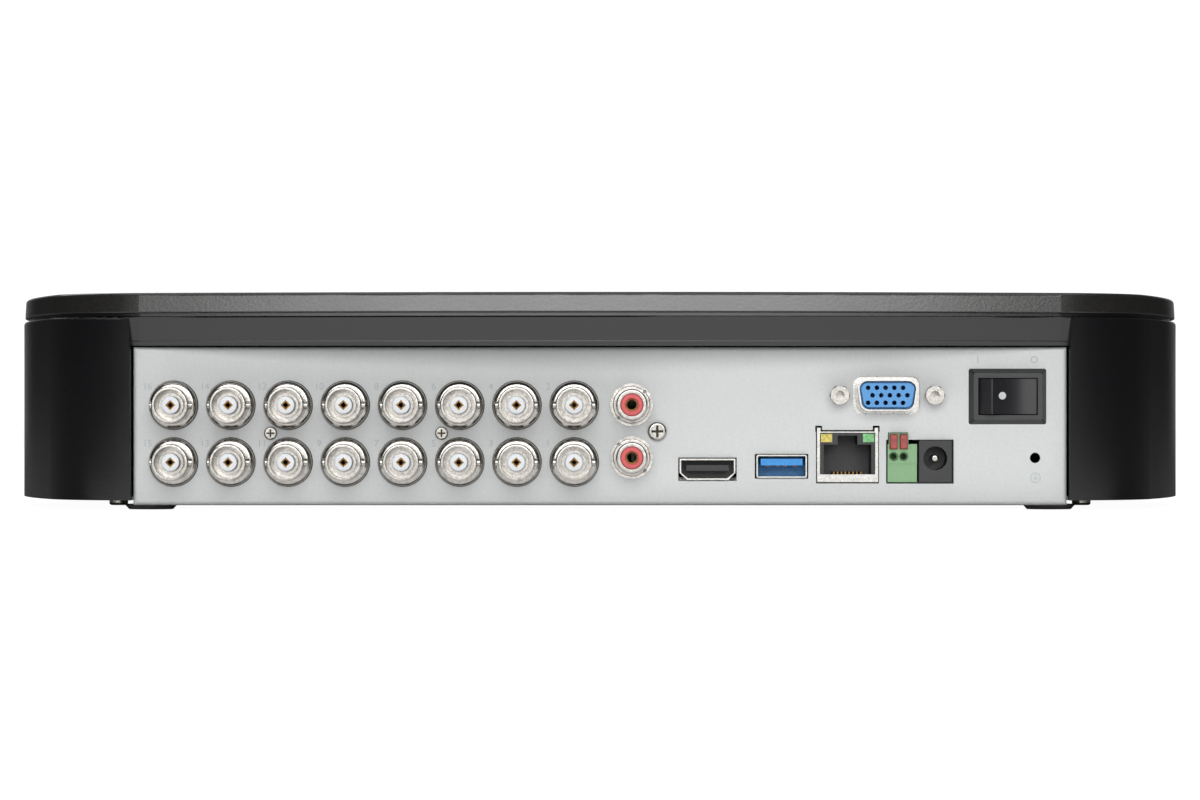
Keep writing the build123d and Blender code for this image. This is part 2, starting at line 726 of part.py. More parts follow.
lamp_size = (3.0, 2.2)
lamp_spots = [(lan_at[0] + side * 5.55, lan_at[1] + 4.95) for side in (-1, 1)]
with BuildPart() as lan_insert:
    with BuildSketch(across(lan_face_y - 0.45)):
        with Locations(lan_at):
            Rectangle(15.4, 12.6)
    extrude(amount=20.0)
    with BuildSketch(across(lan_face_y)):
        with Locations((lan_at[0], (lan_floor_z + lan_at[1] + 3.2) / 2)):
            Rectangle(2 * lan_opening_half, lan_at[1] + 3.2 - lan_floor_z)
        with Locations((lan_at[0], lan_at[1] + 3.9)):
            Rectangle(2 * lan_notch_half, 3.4)
    extrude(amount=13.5, mode=Mode.SUBTRACT)
    with BuildSketch(across(lan_face_y)):
        with Locations(*lamp_spots):
            Rectangle(lamp_size[0] + 0.1, lamp_size[1] + 0.1)
    extrude(amount=6.0, mode=Mode.SUBTRACT)
    with BuildSketch(across(lan_face_y)):
        with Locations((lan_at[0], lan_floor_z + 1.0)):
            with GridLocations(1.02, 1, 8, 1):
                Rectangle(0.5, 3.4)
    extrude(amount=13.5, mode=Mode.SUBTRACT)
save(lan_insert, "lan_insert")

for name, spot in zip(("right", "left"), lamp_spots):
    with BuildPart() as lan_lamp:
        with BuildSketch(across(lan_face_y - 0.3)):
            with Locations(spot):
                Rectangle(*lamp_size)
        extrude(amount=5.6)
    save(lan_lamp, f"lan_lamp_{name}")

with BuildPart() as socket_contacts:
    with BuildSketch(across(usb_face_y - 1.3)):
        for offset_x in (-3.5, -1.0, 1.0, 3.5):
            with Locations((usb_at[0] + offset_x, usb_at[1] + 0.1)):
                Rectangle(1.0, 0.22)
    extrude(amount=7.6)
    with BuildSketch(across(lan_face_y - 2.0)):
        with Locations((lan_at[0], lan_floor_z + 0.2)):
            with GridLocations(1.02, 1, 8, 1):
                Rectangle(0.34, 1.6)
    extrude(amount=11.0)
save(socket_contacts, "socket_contacts")


# ======== Alarm terminal block and DC inlet ========

alarm_face_y = panel_y + 1.2
alarm_mid_x = (alarm_left + alarm_right) / 2
alarm_step_z = 12.4
with BuildPart() as terminal_block:
    with BuildSketch(across(alarm_face_y)):
        with Locations((alarm_mid_x, (alarm_bottom + alarm_top) / 2)):
            Rectangle(alarm_right - alarm_left - 0.1, alarm_top - alarm_bottom - 0.1)
        with Locations(((lever_xs[0] + lever_xs[1]) / 2, 17.8)):
            Rectangle(5.1, 5.2)
    extrude(amount=12.0)
    # Lower half set back, and the funnels that guide each wire.
    with BuildSketch(across(alarm_face_y)):
        with Locations((alarm_mid_x, (alarm_bottom + alarm_step_z) / 2 - 1)):
            Rectangle(10, alarm_step_z - alarm_bottom + 2)
    extrude(amount=0.5, mode=Mode.SUBTRACT)
    with BuildSketch(across(alarm_face_y)):
        with Locations(*[(x, 14.3) for x in lever_xs]):
            Circle(1.25)
    extrude(amount=1.0, taper=20, mode=Mode.SUBTRACT)
    with BuildSketch(across(alarm_face_y)):
        with Locations(*[(x, 14.3) for x in lever_xs]):
            Circle(0.85)
    extrude(amount=8.0, mode=Mode.SUBTRACT)
    with BuildSketch(across(alarm_face_y)):
        with Locations(*[(x, lever_z) for x in lever_xs]):
            Rectangle(2.1, 4.0)
    extrude(amount=6.5, mode=Mode.SUBTRACT)
save(terminal_block, "terminal_block")

for number, x in enumerate(lever_xs, start=1):
    with BuildPart() as terminal_lever:
        with BuildSketch(across(alarm_face_y + 1.6)):
            with Locations((x, lever_z)):
                Rectangle(1.9, 3.8)
        extrude(amount=6.4)
        fillet(terminal_lever.edges().group_by(Axis.Y)[-1], 0.3)
        # Screwdriver slot across the button.
        with BuildSketch(across(alarm_face_y + 1.6)):
            with Locations((x, lever_z + 0.3)):
                Rectangle(1.9, 0.6)
        extrude(amount=0.5, mode=Mode.SUBTRACT)
    save(terminal_lever, f"terminal_lever_{number}")

dc_face_y = panel_y + 1.0
dc_bottom, dc_top = 7.55, 18.5
with BuildPart() as dc_jack:
    with BuildSketch(across(dc_face_y)):
        with Locations(((dc_left + dc_right) / 2, (dc_bottom + dc_top) / 2)):
            Rectangle(dc_right - dc_left - 0.1, dc_top - dc_bottom)
    extrude(amount=14.0)
    fillet(dc_jack.edges().group_by(Axis.Y)[-1].filter_by(Axis.Z), 0.3)
    with BuildSketch(across(dc_face_y)):
        with Locations(dc_at):
            Circle(3.15)
    extrude(amount=9.6, mode=Mode.SUBTRACT)
save(dc_jack, "dc_jack")

with BuildPart() as dc_pin:
    with BuildSketch(across(dc_face_y - 1.2)):
        with Locations(dc_at):
            Circle(1.0)
    extrude(amount=8.4)
    fillet(dc_pin.edges().group_by(Axis.Y)[-1], 0.5)
save(dc_pin, "dc_pin")


# ======== VGA ========


def vga_profile(top_width, bottom_width, high, corner):
    """D-shaped outline: a trapezoid, wide side up, with generously rounded corners."""
    with BuildSketch(mode=Mode.PRIVATE) as outline:
        Polygon(
            (-top_width / 2, high / 2),
            (top_width / 2, high / 2),
            (bottom_width / 2, -high / 2),
            (-bottom_width / 2, -high / 2),
            align=None,
        )
        fillet(outline.vertices(), corner)
    return outline.sketch


vga_face_y = panel_y + 5.6
vga_x, vga_z = vga_at
vga_location = Location((vga_x, vga_z))
with BuildPart() as vga_shell:
    with BuildSketch(across(vga_face_y)):
        with Locations(vga_location):
            add(vga_profile(16.3, 14.1, 8.3, 2.4))
    extrude(amount=7.0)
    with BuildSketch(across(panel_y + 0.9)):
        with Locations(vga_location):
            add(vga_profile(17.2, 15.0, 9.5, 2.8))
    extrude(amount=3.0)
    with BuildSketch(across(panel_y - sheet - 0.05)):
        with Locations(vga_at):
            RectangleRounded(31.0, 12.2, 1.5)
            with Locations((-vga_screw_spacing / 2, 0), (vga_screw_spacing / 2, 0)):
                Circle(1.55, mode=Mode.SUBTRACT)
    extrude(amount=1.0)
    with BuildSketch(across(vga_face_y)):
        with Locations(vga_location):
            add(vga_profile(15.5, 13.3, 7.5, 2.1))
    extrude(amount=9.0, mode=Mode.SUBTRACT)
save(vga_shell, "vga_shell")

vga_pin_pitch = 2.29
vga_row_pitch = 1.98
with BuildPart() as vga_insert:
    with BuildSketch(across(vga_face_y - 2.0)):
        with Locations(vga_location):
            add(vga_profile(15.4, 13.2, 7.4, 2.1))
    extrude(amount=9.0)
    with BuildSketch(across(vga_face_y - 0.2)):
        with Locations(vga_location):
            add(vga_profile(14.5, 12.3, 6.3, 1.6))
    extrude(amount=4.0)
    with BuildSketch(across(vga_face_y)):
        for row in (-1, 0, 1):
            shift = vga_pin_pitch / 4 if row else -vga_pin_pitch / 4
            with Locations((vga_x + shift, vga_z + row * vga_row_pitch)):
                with GridLocations(vga_pin_pitch, 1, 5, 1):
                    Circle(0.62)
    extrude(amount=7.0, mode=Mode.SUBTRACT)
save(vga_insert, "vga_insert")

jackscrew_xs = (vga_x - vga_screw_spacing / 2, vga_x + vga_screw_spacing / 2)
with BuildPart() as vga_jackscrews:
    with BuildSketch(across(panel_y + 5.0)):
        with Locations(*[(x, vga_z) for x in jackscrew_xs]):
            RegularPolygon(4.75 / 2, 6, major_radius=False)
    extrude(amount=5.0)
    with BuildSketch(across(panel_y + 5.0)):
        with Locations(*[(x, vga_z) for x in jackscrew_xs]):
            Circle(2.62)
    extrude(amount=5.0, mode=Mode.INTERSECT)
    hexagon_faces = vga_jackscrews.faces().filter_by(Axis.Y).group_by(Axis.Y)[-1]
    chamfer(hexagon_faces.edges().filter_by(GeomType.CIRCLE), 0.2)
    with BuildSketch(across(panel_y)):
        with Locations(*[(x, vga_z) for x in jackscrew_xs]):
            Circle(1.4)
    extrude(amount=6.0)
    with BuildSketch(across(panel_y + 5.0)):
        with Locations(*[(x, vga_z) for x in jackscrew_xs]):
            Circle(1.2)
    extrude(amount=5.5, mode=Mode.SUBTRACT)
save(vga_jackscrews, "vga_jackscrews")


# ======== Power switch ========

switch_x, switch_z = switch_at
rocker_pivot_y = panel_y - 3.1
rocker_tip_radius = 9.0
rocker_half_tilt = 15.0
rocker_face = 4.6
bezel_face_y = panel_y + 2.0
bezel_size = (20.5, 14.7)
switch_opening = (15.7, 9.8)

with BuildPart() as switch_frame:
    # Mitred bezel: its four faces slope from the rim of the opening to the panel.
    with BuildSketch(across(panel_y)):
        with Locations(switch_at):
            RectangleRounded(*bezel_size, 0.6)
    with BuildSketch(across(bezel_face_y)):
        with Locations(switch_at):
            RectangleRounded(bezel_size[0] - 2.4, bezel_size[1] - 2.4, 0.5)
    loft()
    with BuildSketch(across(panel_y)):
        with Locations(switch_at):
            Rectangle(19.2, 13.2)
    extrude(amount=13.0)
    with BuildSketch(across(bezel_face_y)):
        with Locations(switch_at):
            RectangleRounded(*switch_opening, 0.3)
    extrude(amount=bezel_face_y - rocker_pivot_y, mode=Mode.SUBTRACT)
    with BuildSketch(Plane.XY.offset(switch_z - switch_opening[1] / 2)):
        with Locations((switch_x, rocker_pivot_y)):
            Circle(rocker_tip_radius + 0.35)
    extrude(amount=switch_opening[1], mode=Mode.SUBTRACT)
    # Pivot pins for the rocker, one on each inner wall.
    with BuildSketch(Plane.XY.offset(switch_z - switch_opening[1] / 2 - 0.5)):
        with Locations((switch_x, rocker_pivot_y)):
            Circle(1.0)
    extrude(amount=1.5)
    with BuildSketch(Plane.XY.offset(switch_z + switch_opening[1] / 2 + 0.5)):
        with Locations((switch_x, rocker_pivot_y)):
            Circle(1.0)
    extrude(amount=-1.5)
save(switch_frame, "switch_frame")

# The rocker is drawn at mid travel, where both halves rise towards their ends, then tipped to OFF.
rocker_dip = rocker_face / cos(radians(rocker_half_tilt))
rise = tan(radians(rocker_half_tilt))
# Where the sloping face meets the round end: u * u + (dip + rise * u) ** 2 = tip radius ** 2.
quadratic_a = 1 + rise * rise
quadratic_b = rocker_dip * rise
quadratic_c = rocker_dip * rocker_dip - rocker_tip_radius * rocker_tip_radius
rocker_end_u = (sqrt(quadratic_b * quadratic_b - quadratic_a * quadratic_c) - quadratic_b) / quadratic_a
rocker_end_v = rocker_dip + rise * rocker_end_u
skirt_v = -1.5
skirt_u = sqrt(rocker_tip_radius**2 - skirt_v**2)
rocker_thickness = switch_opening[1] - 0.5

with BuildPart() as rocker_blank:
    with BuildSketch(Plane.XY):
        with BuildLine():
            Polyline((-rocker_end_u, rocker_end_v), (0, rocker_dip), (rocker_end_u, rocker_end_v))
            RadiusArc((rocker_end_u, rocker_end_v), (skirt_u, skirt_v), rocker_tip_radius)
            Polyline((skirt_u, skirt_v), (3.0, -4.5), (-3.0, -4.5), (-skirt_u, skirt_v))
            RadiusArc((-skirt_u, skirt_v), (-rocker_end_u, rocker_end_v), rocker_tip_radius)
        make_face()
        Circle(1.05, mode=Mode.SUBTRACT)
    extrude(amount=rocker_thickness / 2, both=True)
    crease = rocker_blank.edges().filter_by(Axis.Z).sort_by_distance((0, rocker_dip, 0))[0]
    fillet(crease, 14.0)
    tips = rocker_blank.edges().filter_by(Axis.Z).group_by(Axis.Y)[-1]
    fillet(tips, 0.5)

with BuildPart() as power_rocker:
    with Locations(Location((switch_x, rocker_pivot_y, switch_z), (0, 0, rocker_half_tilt))):
        add(rocker_blank.part)
save(power_rocker, "power_rocker")


# ======== Main board ========

board_left, board_right = -100.0, 118.5
board_front, board_back = 18.0, 111.5
with BuildPart() as main_board:
    with BuildSketch(Plane.XY.offset(board_bottom)):
        with Locations(((board_left + board_right) / 2, (board_front + board_back) / 2)):
            Rectangle(board_right - board_left, board_back - board_front)
        with Locations(*board_hole_spots):
            Circle(1.7, mode=Mode.SUBTRACT)
    extrude(amount=board_top - board_bottom)
save(main_board, "main_board")

with BuildPart() as board_screws:
    with Locations(*[(x, y, board_top) for x, y in board_hole_spots]):
        add(cross_head_screw(2.7, 1.6, 1.25, 4.8))
save(board_screws, "board_screws")

processor_at = (10.0, 60.0)
memory_spots = [(x, y) for x in (-24.0, -38.0) for y in (52.0, 68.0)]
decoder_spots = [(x, 76.0) for x in (45.0, 65.0, 85.0)]
header_spots = [(-84.0, 38.1), (-70.0, 38.1)]
coin_cell_at = (-30.0, 85.0)
with BuildPart() as board_chips:
    with BuildSketch(Plane.XY.offset(board_top)):
        with Locations(processor_at):
            Rectangle(27, 27)
        with Locations(*memory_spots):
            Rectangle(9, 13)
        with Locations(*decoder_spots):
            Rectangle(12, 12)
    extrude(amount=1.4)
    with BuildSketch(Plane.XY.offset(board_top)):
        with Locations(*header_spots):
            Rectangle(12, 8)
    extrude(amount=9.5)
save(board_chips, "board_chips")

with BuildPart() as heatsink:
    with BuildSketch(Plane.XY.offset(board_top + 1.4)):
        with Locations(processor_at):
            Rectangle(40, 40)
    extrude(amount=3.0)
    with BuildSketch(Plane.XY.offset(board_top + 4.4)):
        with Locations(processor_at):
            with GridLocations(4.2, 1, 10, 1):
                Rectangle(1.2, 40)
    extrude(amount=11.0)
save(heatsink, "heatsink")

with BuildPart() as coin_cell:
    with BuildSketch(Plane.XY.offset(board_top + 1.0)):
        with Locations(coin_cell_at):
            Circle(10)
    extrude(amount=3.2)
    fillet(coin_cell.edges().group_by(Axis.Z)[-1], 0.5)
    with BuildSketch(Plane.XY.offset(board_top)):
        with Locations(coin_cell_at):
            Rectangle(23, 8)
    extrude(amount=1.1)
save(coin_cell, "coin_cell")


# ======== Fan ========

fan_depth = 10.0
fan_hub_radius = 11.0
fan_blade_radius = 17.8
fan_bore_radius = 18.8
fan_centre = (0.0, fan_z)
fan_plane = Plane.YZ.offset(fan_plane_x)
with BuildPart() as fan_frame:
    with BuildSketch(fan_plane):
        with Locations(fan_centre):
            RectangleRounded(fan_size, fan_size, 2.5)
            Circle(fan_bore_radius, mode=Mode.SUBTRACT)
            with GridLocations(32, 32, 2, 2):
                Circle(1.6, mode=Mode.SUBTRACT)
    extrude(amount=fan_depth)
    # Motor cup held by four arms on the inner side, with the bearing shaft.
    with BuildSketch(Plane.YZ.offset(fan_plane_x + fan_depth - 1.5)):
        with Locations(fan_centre):
            Circle(10)
            for angle in (45, 135):
                Rectangle(2.2, 2 * fan_bore_radius + 1, rotation=angle)
    extrude(amount=1.5)
    with BuildSketch(Plane.YZ.offset(fan_plane_x + 1.5)):
        with Locations(fan_centre):
            Circle(1.0)
    extrude(amount=fan_depth - 2.5)
save(fan_frame, "fan_frame")

with BuildPart() as fan_blade:
    with BuildSketch(Plane.YZ.offset(fan_plane_x + 0.9)):
        with Locations((14.2, 0)):
            Rectangle(7.2, 1.1, rotation=0)
    with BuildSketch(Plane.YZ.offset(fan_plane_x + 7.5)):
        with Locations((13.6, 5.0)):
            Rectangle(7.0, 1.1, rotation=20)
    loft()

with BuildPart() as fan_rotor:
    with BuildSketch(Plane.YZ.offset(fan_plane_x + 0.8)):
        Circle(fan_hub_radius)
    extrude(amount=7.2)
    for blade in range(7):
        add(fan_blade.part.rotate(Axis.X, blade * 360 / 7))
    with BuildSketch(Plane.YZ.offset(fan_plane_x + 1.3)):
        Circle(1.05)
    extrude(amount=7.0, mode=Mode.SUBTRACT)
fan_rotor.part = fan_rotor.part.moved(Location((0, *fan_centre)))
save(fan_rotor, "fan_rotor")


# ======== Disk drive ========

platter_radius = 47.5
platter_zs = (15.0, 21.0)
platter_thickness = 1.3
with BuildPart() as drive_base:
    with BuildSketch(Plane.XY.offset(drive_bottom)):
        with Locations(((drive_left + drive_right) / 2, drive_mid_y)):
            RectangleRounded(drive_right - drive_left, drive_back - drive_front, 2)
    extrude(amount=drive_rim - drive_bottom)
    # Well for the platters and bay for the arm.
    with BuildSketch(Plane.XY.offset(10)):
        with Locations((spindle_x, drive_mid_y)):
            Circle(platter_radius + 1.6)
        with Locations((-27, drive_mid_y)):
            RectangleRounded(62, 88, 6)
    extrude(amount=drive_rim - 10, mode=Mode.SUBTRACT)
    with BuildSketch(Plane.XY.offset(9)):
        with Locations((spindle_x, drive_mid_y)):
            Circle(3.0)
        with Locations(arm_pivot):
            Circle(2.5)
    extrude(amount=17)
    with BuildSketch(Plane.XY.offset(drive_bottom)):
        with Locations(*drive_hole_spots):
            Circle(1.7)
    extrude(amount=3.6, mode=Mode.SUBTRACT)
save(drive_base, "drive_base")

with BuildPart() as drive_cover:
    with BuildSketch(Plane.XY.offset(drive_rim)):
        with Locations(((drive_left + drive_right) / 2, drive_mid_y)):
            RectangleRounded(drive_right - drive_left - 1, drive_back - drive_front - 1, 2)
    extrude(amount=drive_top - drive_rim)
    fillet(drive_cover.edges().group_by(Axis.Z)[-1], 0.6)
save(drive_cover, "drive_cover")

with BuildPart() as drive_platters:
    with BuildSketch(Plane.XY.offset(11)):
        with Locations((spindle_x, drive_mid_y)):
            Circle(12.5)
    extrude(amount=16)
    for z in platter_zs:
        with BuildSketch(Plane.XY.offset(z)):
            with Locations((spindle_x, drive_mid_y)):
                Circle(platter_radius)
        extrude(amount=platter_thickness)
    with BuildSketch(Plane.XY.offset(11)):
        with Locations((spindle_x, drive_mid_y)):
            Circle(3.05)
    extrude(amount=15.5, mode=Mode.SUBTRACT)
save(drive_platters, "drive_platters")

# The arm is drawn along +X from its pivot, then turned to its parked angle.
with BuildPart() as arm_blank:
    with BuildSketch(Plane.XY.offset(11)):
        Circle(7.0)
    extrude(amount=14)
    with BuildSketch(Plane.XY.offset(17.6)):
        Polygon((0, -6), (arm_length - 8, -2.2), (arm_length, -1.5), (arm_length, 1.5),
                (arm_length - 8, 2.2), (0, 6), align=None)
        Polygon((0, -5), (-18, -8), (-18, 8), (0, 5), align=None)
    extrude(amount=2.2)
    with BuildSketch(Plane.XY.offset(11)):
        Circle(2.55)
    extrude(amount=14, mode=Mode.SUBTRACT)

with BuildPart() as drive_arm:
    with Locations(Location((*arm_pivot, 0), (0, 0, arm_park_angle))):
        add(arm_blank.part)
save(drive_arm, "drive_arm")

with BuildPart() as drive_board:
    with BuildSketch(Plane.XY.offset(4.9)):
        with Locations((-10, drive_mid_y)):
            Rectangle(104, 84)
    extrude(amount=1.4)
save(drive_board, "drive_board")

with BuildPart() as drive_screw:
    Cone(3.3, 1.6, 1.7, align=(Align.CENTER, Align.CENTER, Align.MIN))
    Cylinder(1.6, 8.5, align=(Align.CENTER, Align.CENTER, Align.MIN))
    with BuildSketch():
        Rectangle(3.4, 0.8)
        Rectangle(0.8, 3.4)
    extrude(amount=0.9, mode=Mode.SUBTRACT)

with BuildPart() as drive_screws:
    with Locations(*[(x, y, floor_bottom) for x, y in drive_hole_spots]):
        add(drive_screw.part)
save(drive_screws, "drive_screws")

# Data and power leads, plugged in at both ends: from the end of the drive to two headers on the board.
lead_z = 14.0
header_face_y = 34.1
with BuildPart() as data_lead:
    with BuildSketch(Plane.XY.offset(lead_z - 3)):
        with Locations((drive_left - 5.1, -70)):
            Rectangle(10, 14)
        with Locations((-84, header_face_y - 4.05)):
            Rectangle(12, 8)
    extrude(amount=6)
    with BuildLine(Plane.XY.offset(lead_z)) as data_route:
        FilletPolyline((drive_left - 9, -70), (-84, -70), (-84, header_face_y - 5), radius=4)
    with BuildSketch(Plane((drive_left - 9, -70, lead_z), x_dir=(0, 1, 0), z_dir=(-1, 0, 0))):
        Rectangle(1.6, 5.0)
    sweep(path=data_route.line)

with BuildPart() as power_lead:
    with BuildSketch(Plane.XY.offset(lead_z - 3)):
        with Locations((drive_left - 3.1, -45)):
            Rectangle(6, 22)
        with Locations((-70, header_face_y - 4.05)):
            Rectangle(10, 8)
    extrude(amount=6)
    with BuildLine(Plane.XY.offset(lead_z)) as power_route:
        FilletPolyline(
            (drive_left - 5, -45),
            (-76, -45),
            (-76, 6),
            (-70, 16),
            (-70, header_face_y - 5),
            radius=3.5,
        )
    with BuildSketch(Plane((drive_left - 5, -45, lead_z), x_dir=(0, 1, 0), z_dir=(-1, 0, 0))):
        Circle(1.8)
    sweep(path=power_route.line)

with BuildPart() as drive_leads:
    add(data_lead.part)
    add(power_lead.part)
save(drive_leads, "drive_leads")


# ======== Front board and front USB socket ========

with BuildPart() as front_board:
    with BuildSketch(across(front_board_y)):
        with Locations((24, 26)):
            Rectangle(172, 28)
    extrude(amount=-1.6)
save(front_board, "front_board")

front_usb_x, front_usb_z = front_usb_at
front_usb_face_y = -120.6
with BuildPart() as front_usb_shell:
    with BuildSketch(across(front_board_y - 0.05)):
        with Locations(front_usb_at):
            RectangleRounded(13.3, 6.06, 0.5)
            RectangleRounded(12.6, 5.36, 0.3, mode=Mode.SUBTRACT)
    extrude(amount=front_board_y - 0.05 - front_usb_face_y)
save(front_usb_shell, "front_usb_shell")

with BuildPart() as front_usb_insert:
    with BuildSketch(across(front_board_y - 0.05)):
        with Locations(front_usb_at):
            RectangleRounded(12.5, 5.26, 0.3)
    extrude(amount=1.2)
    with BuildSketch(across(front_board_y - 0.05)):
        with Locations((front_usb_x, front_usb_z + 1.1)):
            Rectangle(11.0, 1.75)
    extrude(amount=front_board_y - front_usb_face_y - 0.7)
save(front_usb_insert, "front_usb_insert")
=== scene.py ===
import math

import bmesh
import bpy
from mathutils import Matrix, Vector


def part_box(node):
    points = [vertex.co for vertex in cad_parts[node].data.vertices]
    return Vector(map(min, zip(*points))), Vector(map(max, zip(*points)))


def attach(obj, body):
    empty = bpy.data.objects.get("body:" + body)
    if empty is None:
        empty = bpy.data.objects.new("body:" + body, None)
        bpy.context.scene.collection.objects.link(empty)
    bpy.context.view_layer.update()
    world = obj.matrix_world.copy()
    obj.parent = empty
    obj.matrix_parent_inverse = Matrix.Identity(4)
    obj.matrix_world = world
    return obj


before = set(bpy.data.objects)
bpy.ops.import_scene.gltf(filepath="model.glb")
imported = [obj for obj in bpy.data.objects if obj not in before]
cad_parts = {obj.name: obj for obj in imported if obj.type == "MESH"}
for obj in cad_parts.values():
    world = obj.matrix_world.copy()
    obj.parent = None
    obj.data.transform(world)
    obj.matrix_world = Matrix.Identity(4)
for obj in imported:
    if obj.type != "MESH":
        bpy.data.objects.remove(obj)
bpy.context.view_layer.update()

# Metres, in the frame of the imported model: +Z up, the connector panel faces +Y and the display front -Y.
MM = 0.001
PANEL_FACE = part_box("rear_panel_screws")[1].y - 1.4 * MM


# ======== Procedural finishes ========

class Finish:
    """One Principled material, with texture nodes in object space that feed it."""

    def __init__(self, name, colour, roughness, metallic=0.0, **constants):
        self.material = bpy.data.materials.new(name)
        self.material.use_nodes = True
        self.nodes = self.material.node_tree.nodes
        self.links = self.material.node_tree.links
        self.shader = self.nodes["Principled BSDF"]
        self.shader.inputs["Base Color"].default_value = (*colour, 1.0)
        self.shader.inputs["Roughness"].default_value = roughness
        self.shader.inputs["Metallic"].default_value = metallic
        for socket, value in constants.items():
            self.shader.inputs[socket.replace("_", " ")].default_value = value
        self.place = self.nodes.new("ShaderNodeTexCoord").outputs["Object"]

    def grain(self, size, detail=3.0, stretch=(1.0, 1.0, 1.0)):
        """Soft noise with features of about that size, drawn out along an axis by stretch."""
        mapping = self.nodes.new("ShaderNodeMapping")
        mapping.inputs["Scale"].default_value = [1.0 / (size * s) for s in stretch]
        self.links.new(self.place, mapping.inputs["Vector"])
        noise = self.nodes.new("ShaderNodeTexNoise")
        noise.inputs["Scale"].default_value = 1.0
        noise.inputs["Detail"].default_value = detail
        self.links.new(mapping.outputs["Vector"], noise.inputs["Vector"])
        return noise.outputs["Fac"]

    def along(self, axis):
        """Position along X, Y or Z, in metres."""
        split = self.nodes.new("ShaderNodeSeparateXYZ")
        self.links.new(self.place, split.inputs["Vector"])
        return split.outputs[axis]

    def levels(self, value, low, high, to_low=0.0, to_high=1.0):
        """The value, carried from one range to another and held inside it."""
        ranger = self.nodes.new("ShaderNodeMapRange")
        self.links.new(value, ranger.inputs["Value"])
        ranger.inputs["From Min"].default_value = low
        ranger.inputs["From Max"].default_value = high
        ranger.inputs["To Min"].default_value = to_low
        ranger.inputs["To Max"].default_value = to_high
        return ranger.outputs["Result"]

    def combine(self, operation, first, second):
        """Arithmetic on two values, either of which may be a plain number."""
        node = self.nodes.new("ShaderNodeMath")
        node.operation = operation
        for socket, value in zip(node.inputs, (first, second)):
            if isinstance(value, (int, float)):
                socket.default_value = value
            else:
                self.links.new(value, socket)
        return node.outputs["Value"]

    def tint(self, factor, stops):
        """Base colour by a ramp of (position, colour) stops."""
        ramp = self.nodes.new("ShaderNodeValToRGB")
        while len(ramp.color_ramp.elements) < len(stops):
            ramp.color_ramp.elements.new(0.5)
        for element, (position, colour) in zip(ramp.color_ramp.elements, stops):
            element.position = position
            element.color = (*colour, 1.0)
        self.links.new(factor, ramp.inputs["Fac"])
        self.links.new(ramp.outputs["Color"], self.shader.inputs["Base Color"])
        return self

    def gloss(self, factor, low, high):
        """Roughness that wanders between two values with a noise."""
        self.links.new(self.levels(factor, 0.3, 0.7, low, high), self.shader.inputs["Roughness"])
        return self

    def relief(self, height, depth):
        """Surface bumps of that depth in metres. Calls add up."""
        bump = self.nodes.new("ShaderNodeBump")
        bump.inputs["Distance"].default_value = depth
        self.links.new(height, bump.inputs["Height"])
        normal = self.shader.inputs["Normal"]
        if normal.links:
            self.links.new(normal.links[0].from_socket, bump.inputs["Normal"])
        self.links.new(bump.outputs["Normal"], normal)
        return self


def shade(colour, factor):
    """The colour, lighter or darker by a factor."""
    return tuple(channel * factor for channel in colour)


def textured_plastic(name, colour, roughness, grain_size, grain_depth, speckle, **constants):
    """Moulded plastic with a spark-eroded grain: speckled colour, uneven gloss and a fine relief."""
    finish = Finish(name, colour, roughness, **constants)
    fine = finish.grain(grain_size, 2.0)
    finish.tint(fine, [(0.36, shade(colour, 1 - speckle)), (0.64, shade(colour, 1 + speckle))])
    finish.gloss(finish.grain(18 * MM), roughness - 0.01, roughness + 0.01)
    return finish.relief(finish.grain(1.5 * grain_size, 0.0), grain_depth).material


def lid_plastic():
    return textured_plastic("lid_plastic", (0.0150, 0.0145, 0.0133), 0.30, 0.50 * MM, 0.016 * MM, 0.45,
                            Specular_IOR_Level=1.0)


def case_plastic():
    return textured_plastic("case_plastic", (0.0014, 0.0016, 0.0024), 0.30, 0.50 * MM, 0.012 * MM, 0.30,
                            Specular_IOR_Level=0.85)


def fascia_gloss():
    finish = Finish("fascia_gloss", (0.006, 0.006, 0.007), 0.08, Coat_Weight=0.6, Coat_Roughness=0.03)
    finish.gloss(finish.grain(9 * MM, 6.0), 0.06, 0.13)
    return finish.relief(finish.grain(14 * MM, 1.0), 0.010 * MM).material


def window_smoke():
    finish = Finish("window_smoke", (0.020, 0.003, 0.004), 0.07, Coat_Weight=0.8, Coat_Roughness=0.02)
    finish.tint(finish.grain(22 * MM, 1.0), [(0.3, (0.014, 0.002, 0.003)), (0.7, (0.030, 0.005, 0.006))])
    return finish.relief(finish.grain(20 * MM, 1.0), 0.008 * MM).material


def light_pipe():
    finish = Finish("light_pipe", (0.80, 0.82, 0.84), 0.30, Subsurface_Weight=0.4, Coat_Weight=0.3)
    finish.tint(finish.grain(0.8 * MM), [(0.3, (0.72, 0.74, 0.77)), (0.7, (0.86, 0.88, 0.90))])
    return finish.relief(finish.grain(0.25 * MM), 0.01 * MM).material


def panel_paint():
    """Powder coat on folded sheet steel: orange peel, a faint mottle and a little dirt."""
    colour = (0.600, 0.616, 0.613)
    finish = Finish("panel_paint", colour, 0.42, Specular_IOR_Level=0.4)
    mottle = finish.grain(0.7 * MM, 4.0)
    finish.tint(mottle, [(0.30, shade(colour, 0.965)), (0.70, shade(colour, 1.03))])
    finish.gloss(finish.grain(6 * MM), 0.36, 0.48)
    finish.relief(finish.grain(0.55 * MM, 1.0), 0.012 * MM)
    return finish.relief(finish.grain(2.2 * MM, 1.0), 0.018 * MM).material


